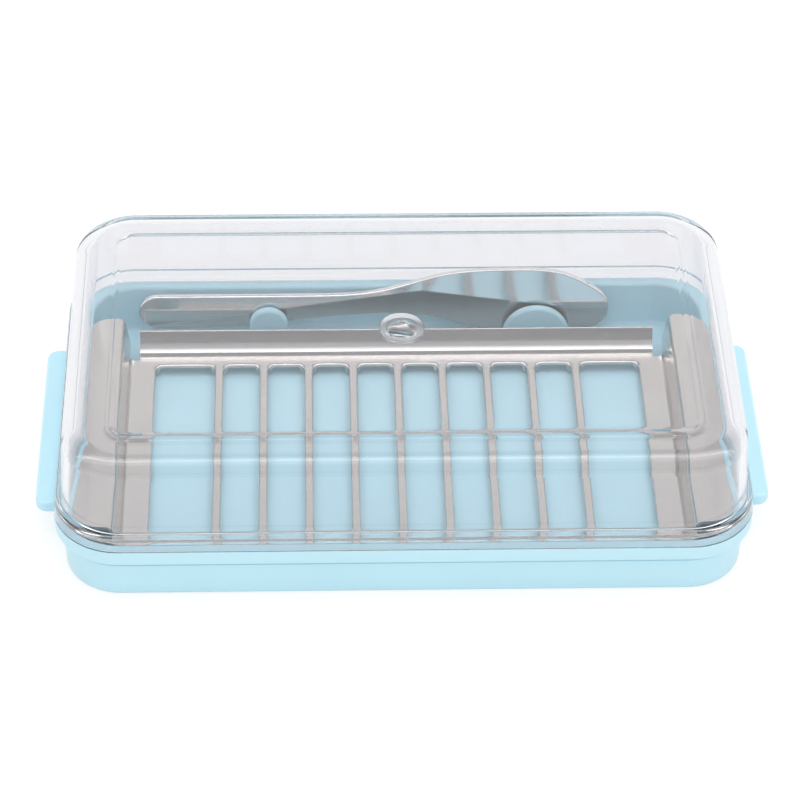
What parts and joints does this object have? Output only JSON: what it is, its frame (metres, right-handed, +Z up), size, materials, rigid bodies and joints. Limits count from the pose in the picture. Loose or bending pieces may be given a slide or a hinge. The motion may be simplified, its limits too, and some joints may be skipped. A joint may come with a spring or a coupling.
{
  "type": "butter slicer box",
  "caption": "Covered butter box with a stamped steel slicing grid, a butter knife held behind it and a clear lid.",
  "frame": {"origin": "centre of the tray's underside, on the surface that the box stands on", "axes": "+X along the box, +Y towards the side where the knife lies, +Z up"},
  "size_m": [0.187, 0.1076, 0.0439],
  "materials": {
    "tray_plastic": "satin moulded plastic, pale sky blue",
    "clear_plastic": "clear moulded plastic, polished, faintly grey",
    "stamped_steel": "stamped stainless sheet, fine satin grain",
    "polished_steel": "polished stainless"
  },
  "bodies": {
    "tray": {"tray": "tray_plastic"},
    "cutter": {"cutter": "stamped_steel"},
    "lid": {"lid": "clear_plastic"},
    "knife": {"knife": "polished_steel"}
  },
  "joints": [
    {"name": "cutter_lift", "type": "slide", "parent": "tray", "child": "cutter", "axis": [0, 0, 1], "range_m": [0, 0.045]},
    {"name": "lid_lift", "type": "slide", "parent": "cutter", "child": "lid", "axis": [0, 0, 1], "range_m": [0, 0.09]},
    {"name": "knife_lift", "type": "slide", "parent": "tray", "child": "knife", "axis": [0, 0, 1], "range_m": [0, 0.012]}
  ]
}
